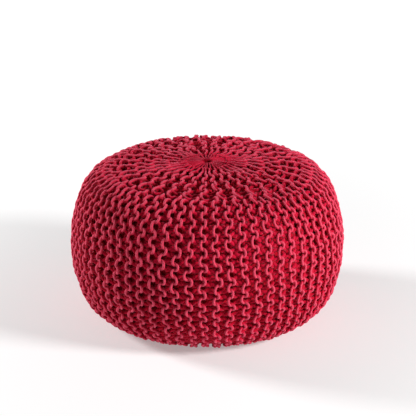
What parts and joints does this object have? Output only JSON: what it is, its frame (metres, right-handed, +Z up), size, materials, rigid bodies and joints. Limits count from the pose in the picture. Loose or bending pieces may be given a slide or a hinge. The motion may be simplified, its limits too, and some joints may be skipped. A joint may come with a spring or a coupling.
{
  "type": "knitted floor pouf",
  "caption": "Round floor pouf: a thick garter-knit cotton cord cover, drawn together at top and bottom, over a zipped cloth bag of foam beads.",
  "frame": {"origin": "on the floor, under the middle of the pouf", "axes": "+Z up along the pouf's axis; +Y towards the cover's joining seam, which stands at the back; +X along the bag's zip, the way its slider opens it"},
  "size_m": [0.5, 0.4999, 0.2899],
  "materials": {
    "cotton_cord": "matte",
    "liner_cloth": "matte",
    "sewing_thread": "matte",
    "zip_tape": "matte",
    "zip_teeth": "satin",
    "zip_metal": "satin",
    "foam_beads": "matte"
  },
  "bodies": {
    "pouf": {"knitted_cover": "cotton_cord", "cover_seam_cord": "cotton_cord", "top_drawcord": "cotton_cord", "bottom_drawcord": "cotton_cord", "liner_top_panel": "liner_cloth", "liner_side_panel_1": "liner_cloth", "liner_side_panel_2": "liner_cloth", "liner_side_panel_3": "liner_cloth", "liner_side_panel_4": "liner_cloth", "liner_bottom_front": "liner_cloth", "liner_bottom_back": "liner_cloth", "liner_top_seam": "sewing_thread", "liner_bottom_seam": "sewing_thread", "liner_side_seams": "sewing_thread", "zip_stitching": "sewing_thread", "zip_tape_front": "zip_tape", "zip_tape_back": "zip_tape", "zip_teeth_front": "zip_teeth", "zip_teeth_back": "zip_teeth", "zip_top_stops": "zip_teeth", "zip_bottom_stop": "zip_teeth", "bead_filling": "foam_beads"},
    "slider": {"zip_slider": "zip_metal"}
  },
  "joints": [
    {"name": "zip_slide", "type": "slide", "parent": "pouf", "child": "slider", "axis": [1, 0, 0], "range_m": [0, 0.266]}
  ]
}
